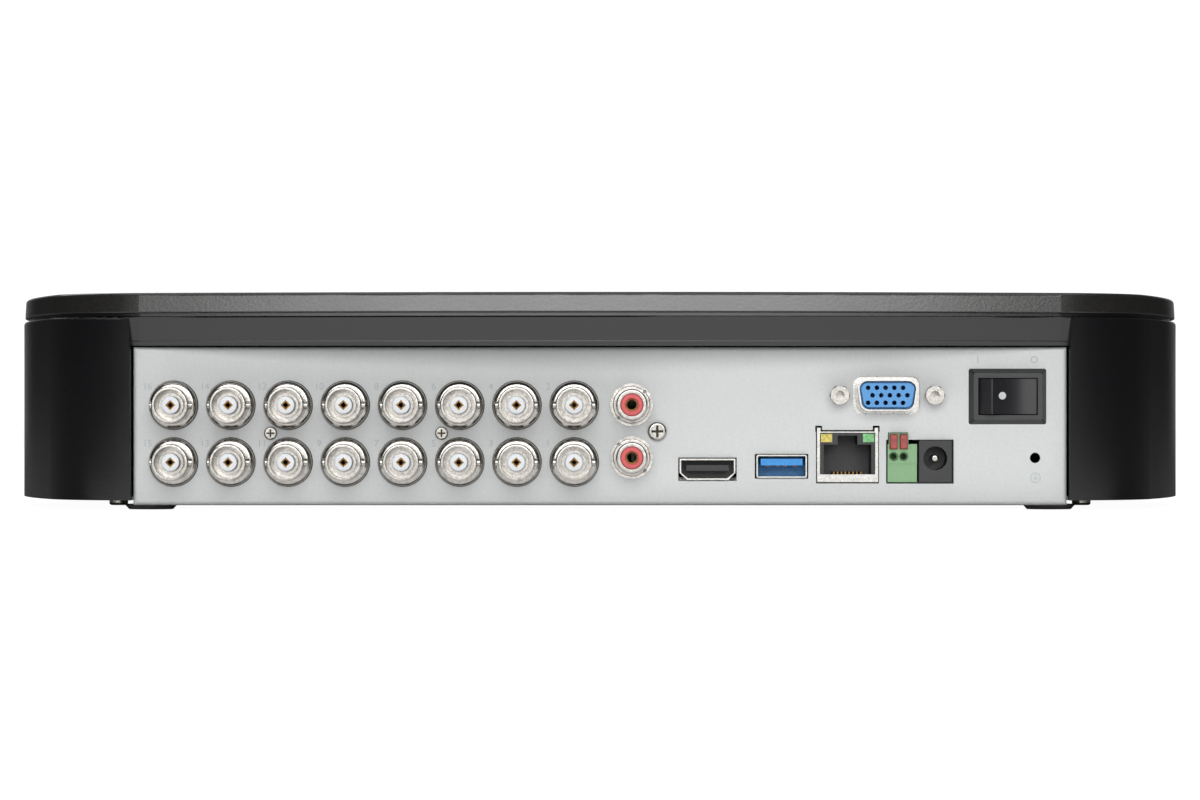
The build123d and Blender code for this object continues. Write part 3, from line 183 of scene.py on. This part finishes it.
def bright_nickel(name):
    """Nickel on a zinc die casting: smooth where it was turned, rougher in patches near the panel."""
    colour = (0.44, 0.422, 0.392)
    finish = Finish(name, colour, 0.2, 1.0)
    coarse = finish.grain(0.9 * MM, 5.0)
    finish.gloss(finish.grain(1.3 * MM, 4.0), 0.12, 0.26)
    cast = finish.levels(finish.along("Y"), PANEL_FACE + 2.3 * MM, PANEL_FACE + 3.4 * MM, 1.0, 0.15)
    patches = finish.levels(finish.grain(3.5 * MM, 2.0), 0.48, 0.62, 0.25, 1.0)
    rough = finish.combine("MULTIPLY", cast, patches)
    finish.relief(finish.combine("MULTIPLY", coarse, rough), 0.030 * MM)
    finish.relief(finish.combine("MULTIPLY", finish.grain(0.35 * MM, 2.0), rough), 0.006 * MM)
    return finish, coarse, colour


def nickel():
    finish, coarse, colour = bright_nickel("nickel")
    return finish.tint(coarse, [(0.30, shade(colour, 0.80)), (0.50, colour), (0.75, shade(colour, 1.15))]).material


def jack_nickel():
    """Nickel of the video jacks, with painted shade: dark brown in a band along the barrel and down its bore."""
    finish, coarse, colour = bright_nickel("jack_nickel")
    # Painted shade: from about 9 to 12 mm off the panel face, the barrel and its bore are tinted dark brown.
    above = finish.levels(finish.along("Y"), PANEL_FACE + 8.8 * MM, PANEL_FACE + 9.3 * MM, 1.0, 0.0)
    below = finish.levels(finish.along("Y"), PANEL_FACE + 11.4 * MM, PANEL_FACE + 12.3 * MM, 0.0, 1.0)
    unshaded = finish.combine("MULTIPLY", coarse, finish.combine("ADD", above, below))
    painted_bore_shade = (0.085, 0.070, 0.052)
    return finish.tint(unshaded, [(0.05, painted_bore_shade), (0.30, shade(colour, 0.80)), (0.50, colour),
                               (0.75, shade(colour, 1.15))]).material


def plated_screw(name):
    """Plated screw steel, and the noise that its colour follows."""
    finish = Finish(name, (0.42, 0.405, 0.375), 0.18, 1.0)
    finish.gloss(finish.grain(0.5 * MM), 0.12, 0.3)
    finish.relief(finish.grain(0.6 * MM, 4.0), 0.005 * MM)
    return finish, finish.grain(0.8 * MM, 5.0)


def screw_nickel():
    finish, mottle = plated_screw("screw_nickel")
    return finish.tint(mottle, [(0.3, (0.336, 0.324, 0.300)), (0.7, (0.470, 0.454, 0.420))]).material


def panel_screw_nickel():
    """Plating of the connector panel's screws, with painted shade in the cross recess and round the foot of the
    head.
    """
    finish, mottle = plated_screw("panel_screw_nickel")
    # Painted shade: near-black brown where the screw lies within about 0.6 to 0.85 mm of the panel face, down in
    # the cross recess and round the foot of the head.
    unshaded = finish.levels(finish.along("Y"), PANEL_FACE + 0.60 * MM, PANEL_FACE + 0.85 * MM)
    return finish.tint(finish.combine("MULTIPLY", mottle, unshaded), [
        (0.05, (0.040, 0.034, 0.027)), (0.35, (0.336, 0.324, 0.300)), (0.7, (0.470, 0.454, 0.420))]).material


def dielectric():
    finish = Finish("dielectric", (0.80, 0.815, 0.84), 0.45, Subsurface_Weight=0.15, Subsurface_Scale=0.001)
    finish.tint(finish.grain(0.5 * MM), [(0.3, (0.77, 0.785, 0.81)), (0.7, (0.84, 0.855, 0.88))])
    return finish.relief(finish.grain(0.4 * MM), 0.008 * MM).material


def gold():
    finish = Finish("gold", (0.19, 0.10, 0.03), 0.28, 1.0)
    finish.tint(finish.grain(0.4 * MM), [(0.3, (0.12, 0.055, 0.014)), (0.7, (0.26, 0.15, 0.05))])
    return finish.relief(finish.grain(0.2 * MM), 0.01 * MM).material


def black_moulding():
    return textured_plastic("black_moulding", (0.010, 0.010, 0.012), 0.42, 0.25 * MM, 0.008 * MM, 0.3)


def audio_red():
    return textured_plastic("audio_red", (0.62, 0.082, 0.088), 0.42, 0.35 * MM, 0.010 * MM, 0.08)


def socket_steel():
    """Bright tinned sheet steel with fine rolling lines and a few rubbed spots."""
    colour = (0.46, 0.45, 0.43)
    finish = Finish("socket_steel", colour, 0.22, 1.0)
    lines = finish.grain(0.18 * MM, 2.0, stretch=(9.0, 9.0, 1.0))
    finish.tint(finish.grain(1.5 * MM, 4.0), [(0.3, shade(colour, 0.90)), (0.7, shade(colour, 1.08))])
    finish.gloss(finish.grain(0.8 * MM, 4.0), 0.16, 0.34)
    return finish.relief(lines, 0.003 * MM).material


def usb_blue():
    return textured_plastic("usb_blue", (0.011, 0.250, 0.65), 0.38, 0.4 * MM, 0.010 * MM, 0.12)


def lamp(name, colour):
    """Tinted clear moulding, brighter where its grain gathers the light."""
    finish = Finish(name, colour, 0.18, Subsurface_Weight=0.3, Subsurface_Scale=0.001, Coat_Weight=0.7)
    finish.tint(finish.grain(0.9 * MM, 2.0), [(0.35, shade(colour, 0.75)), (0.68, shade(colour, 1.45))])
    return finish.relief(finish.grain(0.8 * MM, 1.0), 0.05 * MM).material


def lamp_yellow():
    return lamp("lamp_yellow", (0.52, 0.42, 0.055))


def lamp_green():
    return lamp("lamp_green", (0.13, 0.43, 0.14))


def terminal_green():
    return textured_plastic("terminal_green", (0.202, 0.372, 0.183), 0.4, 0.4 * MM, 0.010 * MM, 0.05)


def lever_red():
    return textured_plastic("lever_red", (0.345, 0.047, 0.039), 0.36, 0.3 * MM, 0.010 * MM, 0.08)


def vga_blue():
    return textured_plastic("vga_blue", (0.074, 0.29, 0.63), 0.45, 0.35 * MM, 0.008 * MM, 0.06)


def switch_black():
    return textured_plastic("switch_black", (0.013, 0.013, 0.015), 0.33, 0.22 * MM, 0.006 * MM, 0.3)


def board_green():
    """Solder mask over copper: lighter tracks show through a dark green lacquer."""
    finish = Finish("board_green", (0.01, 0.12, 0.05), 0.3, Coat_Weight=0.4)
    tracks = finish.grain(1.4 * MM, 1.0, stretch=(4.0, 1.0, 1.0))
    lacquer, copper = (0.008, 0.075, 0.035), (0.020, 0.17, 0.07)
    finish.tint(tracks, [(0.44, lacquer), (0.50, copper), (0.56, lacquer)])
    return finish.relief(tracks, 0.03 * MM).material


def chip_black():
    return textured_plastic("chip_black", (0.020, 0.020, 0.022), 0.55, 0.2 * MM, 0.006 * MM, 0.35)


def aluminium():
    finish = Finish("aluminium", (0.80, 0.81, 0.82), 0.35, 1.0)
    brushed = finish.grain(0.12 * MM, 2.0, stretch=(1.0, 30.0, 1.0))
    finish.tint(brushed, [(0.3, (0.70, 0.71, 0.72)), (0.7, (0.88, 0.89, 0.90))])
    return finish.gloss(brushed, 0.28, 0.42).relief(brushed, 0.006 * MM).material


def cover_steel():
    finish = Finish("cover_steel", (0.70, 0.70, 0.70), 0.28, 1.0)
    finish.tint(finish.grain(5 * MM, 4.0), [(0.3, (0.62, 0.62, 0.62)), (0.7, (0.76, 0.76, 0.76))])
    return finish.gloss(finish.grain(2 * MM), 0.22, 0.36).relief(finish.grain(0.3 * MM), 0.006 * MM).material


def platter_mirror():
    finish = Finish("platter_mirror", (0.86, 0.86, 0.88), 0.05, 1.0)
    return finish.gloss(finish.grain(12 * MM), 0.03, 0.07).material


def lead_black():
    return textured_plastic("lead_black", (0.015, 0.015, 0.016), 0.5, 0.3 * MM, 0.010 * MM, 0.3)


FINISHES = (
    lid_plastic, case_plastic, fascia_gloss, window_smoke, light_pipe, panel_paint, nickel, jack_nickel,
    screw_nickel, panel_screw_nickel, dielectric, gold, black_moulding, audio_red, socket_steel, usb_blue,
    lamp_yellow, lamp_green, terminal_green, lever_red, vga_blue, switch_black, board_green, chip_black,
    aluminium, cover_steel, platter_mirror, lead_black,
)


OWN_FINISH = {"bnc_jacks": "jack_nickel", "rear_panel_screws": "panel_screw_nickel"}


def finish_nodes():
    """Gives every CAD node its own finish, or else the one that its material slot is named after."""
    made = {make.__name__: make() for make in FINISHES}
    for name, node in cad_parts.items():
        own = [finish for prefix, finish in OWN_FINISH.items() if name.startswith(prefix)]
        for held in node.material_slots:
            slot = held.material.name.split(".")[0]
            held.material = made[own[0] if own else slot]


# ======== Markings ========

MARK_THICKNESS = 0.02 * MM


def marking_ink(name, colour):
    finish = Finish(name, colour, 0.5)
    finish.tint(finish.grain(0.3 * MM), [(0.3, shade(colour, 0.95)), (0.7, shade(colour, 1.05))])
    return finish.relief(finish.grain(0.2 * MM), 0.004 * MM).material


def facing_rear(x, y, z):
    """Placement of flat artwork drawn in X and Y, so that it reads upright from behind the recorder."""
    turn = Matrix(((-1, 0, 0), (0, 0, 1), (0, 1, 0))).to_4x4()
    return Matrix.Translation((x, y, z)) @ turn


def text_mesh(words, size):
    """Flat generic lettering as a mesh, centred on the origin."""
    curve = bpy.data.curves.new("lettering", "FONT")
    curve.body = words
    curve.size = size
    curve.align_x, curve.align_y = "CENTER", "CENTER"
    curve.extrude = MARK_THICKNESS / 2
    holder = bpy.data.objects.new("lettering", curve)
    bpy.context.scene.collection.objects.link(holder)
    bpy.context.view_layer.update()
    mesh = bpy.data.meshes.new_from_object(holder.evaluated_get(bpy.context.evaluated_depsgraph_get()))
    bpy.data.objects.remove(holder)
    return mesh


def add_to(bm, mesh, placement):
    """Adds a placed copy of a mesh to a bmesh."""
    copy = mesh.copy()
    copy.transform(placement)
    bm.from_mesh(copy)
    bpy.data.meshes.remove(copy)


def piece_from(bm, name, material, body):
    """Turns a bmesh into a piece that rides on a body."""
    mesh = bpy.data.meshes.new(name)
    bm.to_mesh(mesh)
    bm.free()
    mesh.materials.append(material)
    piece = bpy.data.objects.new(name, mesh)
    bpy.context.scene.collection.objects.link(piece)
    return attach(piece, body)


def flat_bar(bm, x, z, width, height):
    """Thin rectangular mark on the connector panel."""
    size = Matrix.Diagonal((width, MARK_THICKNESS, height, 1.0))
    bmesh.ops.create_cube(bm, size=1.0, matrix=Matrix.Translation((x, PANEL_FACE + MARK_THICKNESS / 2, z)) @ size)


def flat_ring(bm, x, z, outer, inner):
    """Thin ring mark on the connector panel."""
    sides = 48
    for i in range(sides):
        corners = []
        for radius, step in ((outer, i), (outer, i + 1), (inner, i + 1), (inner, i)):
            angle = 2 * math.pi * step / sides
            spot = (x + radius * math.cos(angle), PANEL_FACE + MARK_THICKNESS, z + radius * math.sin(angle))
            corners.append(bm.verts.new(spot))
        bm.faces.new(corners)
    bmesh.ops.remove_doubles(bm, verts=bm.verts, dist=0.001 * MM)


def jack_numerals():
    """Pale numerals 1 to 16, each up and to one side of its video jack."""
    bm = bmesh.new()
    columns = 8
    half_pitch = 7.5 * MM
    aside, above = 6.9 * MM, 4.9 * MM
    for column in range(columns):
        low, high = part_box(f"bnc_jacks_{column + 1}")
        middle = (low + high) / 2
        upper_number = 2 * (columns - column)
        for rise, number in ((half_pitch, upper_number), (-half_pitch, upper_number - 1)):
            spot = facing_rear(middle.x + aside, PANEL_FACE + MARK_THICKNESS / 2, middle.z + rise + above)
            add_to(bm, text_mesh(str(number), 2.5 * MM), spot)
    return piece_from(bm, "jack_numerals", marking_ink("numeral_ink", (0.435, 0.455, 0.470)), "case")


def switch_marks():
    """The I and O of the power switch, above its frame."""
    low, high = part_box("switch_frame")
    middle = (low + high) / 2
    bm = bmesh.new()
    for words, x in (("I", middle.x + 7.8 * MM), ("O", middle.x - 7.1 * MM)):
        add_to(bm, text_mesh(words, 2.6 * MM), facing_rear(x, PANEL_FACE + MARK_THICKNESS / 2, high.z + 2.3 * MM))
    return piece_from(bm, "switch_marks", marking_ink("switch_ink", (0.385, 0.40, 0.41)), "case")


def earth_mark():
    """Earth symbol in a ring, under the earthing hole."""
    x, z = -114.9 * MM, 8.65 * MM
    bm = bmesh.new()
    flat_ring(bm, x, z, 1.35 * MM, 1.17 * MM)
    flat_bar(bm, x, z + 0.42 * MM, 0.14 * MM, 0.9 * MM)
    for drop, width in ((0.03, 1.5), (0.33, 1.0), (0.63, 0.5)):
        flat_bar(bm, x, z - drop * MM, width * MM, 0.14 * MM)
    return piece_from(bm, "earth_mark", marking_ink("earth_ink", (0.40, 0.42, 0.43)), "case")


def rocker_dot():
    """White dot printed on the power rocker: rings of points laid onto its curved face."""
    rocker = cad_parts["power_rocker"]
    inward = rocker.matrix_world.inverted()
    ahead = (inward.to_3x3() @ Vector((0, -1, 0))).normalized()

    def on_face(x, z):
        found, spot, normal, _ = rocker.ray_cast(inward @ Vector((x, PANEL_FACE + 0.1, z)), ahead)
        return rocker.matrix_world @ (spot + normal * MARK_THICKNESS)

    bm = bmesh.new()
    middle_x, middle_z = -105.9 * MM, 30.3 * MM
    sides = 40
    turns = [2 * math.pi * i / sides for i in range(sides)]
    centre = bm.verts.new(on_face(middle_x, middle_z))
    inner = None
    for radius in (0.25 * MM, 0.5 * MM, 0.75 * MM, 1.0 * MM):
        spots = [(middle_x + radius * math.cos(turn), middle_z + radius * math.sin(turn)) for turn in turns]
        ring = [bm.verts.new(on_face(x, z)) for x, z in spots]
        for i in range(sides):
            j = (i + 1) % sides
            bm.faces.new((ring[i], ring[j], inner[j], inner[i]) if inner else (ring[i], ring[j], centre))
        inner = ring
    return piece_from(bm, "rocker_dot", marking_ink("dot_ink", (0.62, 0.63, 0.64)), "rocker")


# ======== Stage, light and camera ========

def stage_floor():
    """Large pale floor. It stands out white to the camera, and lights the object only by what falls on it."""
    mesh = bpy.data.meshes.new("floor")
    reach = 12.0
    sides = 64
    ring = [(reach * math.cos(2 * math.pi * i / sides), reach * math.sin(2 * math.pi * i / sides), 0.0)
            for i in range(sides)]
    mesh.from_pydata(ring, [], [list(range(sides))])
    floor = bpy.data.objects.new("floor", mesh)
    bpy.context.scene.collection.objects.link(floor)
    material = bpy.data.materials.new("floor")
    material.use_nodes = True
    nodes, links = material.node_tree.nodes, material.node_tree.links
    shader = nodes["Principled BSDF"]
    shader.inputs["Base Color"].default_value = (0.20, 0.20, 0.205, 1.0)
    shader.inputs["Roughness"].default_value = 0.9
    glow = nodes.new("ShaderNodeEmission")
    path = nodes.new("ShaderNodeLightPath")
    shown = nodes.new("ShaderNodeMath")
    shown.operation = "MULTIPLY"
    shown.inputs[1].default_value = 0.97
    links.new(path.outputs["Is Camera Ray"], shown.inputs[0])
    links.new(shown.outputs["Value"], glow.inputs["Strength"])
    both = nodes.new("ShaderNodeAddShader")
    links.new(shader.outputs["BSDF"], both.inputs[0])
    links.new(glow.outputs["Emission"], both.inputs[1])
    links.new(both.outputs["Shader"], nodes["Material Output"].inputs["Surface"])
    mesh.materials.append(material)


def studio_world():
    """White to the camera. For light and reflections: dark flags at the sides, a bright sweep beyond the front."""
    world = bpy.data.worlds.new("studio")
    bpy.context.scene.world = world
    world.use_nodes = True
    nodes, links = world.node_tree.nodes, world.node_tree.links
    seen = nodes["Background"]
    seen.inputs["Color"].default_value = (1.0, 1.0, 1.0, 1.0)
    seen.inputs["Strength"].default_value = 1.05
    direction = nodes.new("ShaderNodeTexCoord").outputs["Generated"]
    split = nodes.new("ShaderNodeSeparateXYZ")
    links.new(direction, split.inputs["Vector"])

    def strength(axis, start, end, at_start, at_end):
        """Strength that changes with the direction's share of one axis."""
        ranger = nodes.new("ShaderNodeMapRange")
        limits = ("From Min", start), ("From Max", end), ("To Min", at_start), ("To Max", at_end)
        for socket, value in limits:
            ranger.inputs[socket].default_value = value
        links.new(split.outputs[axis], ranger.inputs["Value"])
        return ranger.outputs["Result"]

    total = nodes.new("ShaderNodeMath")
    links.new(strength("Y", -0.95, -1.0, 0.0, 0.6), total.inputs[0])
    links.new(strength("Z", -0.1, 0.9, 0.005, 0.16), total.inputs[1])
    lighting = nodes.new("ShaderNodeBackground")
    links.new(total.outputs["Value"], lighting.inputs["Strength"])
    path = nodes.new("ShaderNodeLightPath")
    choose = nodes.new("ShaderNodeMixShader")
    links.new(path.outputs["Is Camera Ray"], choose.inputs["Fac"])
    links.new(lighting.outputs["Background"], choose.inputs[1])
    links.new(seen.outputs["Background"], choose.inputs[2])
    links.new(choose.outputs["Shader"], nodes["World Output"].inputs["Surface"])


def softbox(name, azimuth, elevation, distance, width, height, radiance, colour=(1.0, 1.0, 1.0)):
    """Rectangular light that faces the object. Azimuth runs from +Y towards +X, in degrees."""
    light = bpy.data.lights.new(name, "AREA")
    light.shape = "RECTANGLE"
    light.size, light.size_y = width, height
    light.energy = math.pi * width * height * radiance
    light.color = colour
    holder = bpy.data.objects.new(name, light)
    bpy.context.scene.collection.objects.link(holder)
    a, e = math.radians(azimuth), math.radians(elevation)
    out = Vector((math.sin(a) * math.cos(e), math.cos(a) * math.cos(e), math.sin(e)))
    middle_of_case = Vector((0.0, 0.0, 30 * MM))
    holder.location = middle_of_case + out * distance
    holder.rotation_mode = "QUATERNION"
    holder.rotation_quaternion = out.to_track_quat("Z", "Y")
    holder.visible_camera = False
    return holder


def studio_lights():
    softbox("key", -1, 18, 2.2, 1.5, 0.9, 3.7)
    softbox("wide_key", 0, 19, 2.3, 2.1, 1.0, 1.7)
    softbox("fill", 5, 3, 2.6, 1.9, 0.55, 2.0)
    softbox("overhead", 0, 78, 2.0, 2.2, 1.6, 1.0)
    softbox("front_window", 155, 38, 2.4, 1.6, 1.0, 2.2)
    softbox("low_front", 180, 7, 2.4, 1.7, 0.7, 0.5)
    bounce_card(0.42, 0.50, 0.9)


def bounce_card(width, length, radiance):
    """White card lying on the floor a little behind the connector panel, which throws light up at it."""
    light = bpy.data.lights.new("bounce_card", "AREA")
    light.shape = "RECTANGLE"
    light.size, light.size_y = width, length
    light.energy = math.pi * width * length * radiance
    holder = bpy.data.objects.new("bounce_card", light)
    bpy.context.scene.collection.objects.link(holder)
    gap, height = 5 * MM, 0.3 * MM
    holder.location = (0.0, PANEL_FACE + gap + length / 2, height)
    holder.rotation_euler = (math.pi, 0.0, 0.0)
    holder.visible_camera = False


def camera_behind(distance=1.24):
    """Camera square to the connector panel and level with its middle. The view's width is that at the panel."""
    camera_height = 23.9 * MM
    view_width = 316.623 * MM
    data = bpy.data.cameras.new("camera")
    data.sensor_width = 36.0
    data.lens = data.sensor_width * distance / view_width
    data.shift_y = 1 / 60
    data.clip_start, data.clip_end = 0.05, 40.0
    camera = bpy.data.objects.new("camera", data)
    bpy.context.scene.collection.objects.link(camera)
    camera.location = (0.0, PANEL_FACE + distance, camera_height)
    camera.rotation_mode = "QUATERNION"
    camera.rotation_quaternion = Vector((0.0, 1.0, 0.0)).to_track_quat("Z", "Y")
    bpy.context.scene.camera = camera


finish_nodes()
jack_numerals()
switch_marks()
earth_mark()
rocker_dot()
stage_floor()
studio_world()
studio_lights()
camera_behind()
bpy.context.scene.view_settings.view_transform = "Standard"
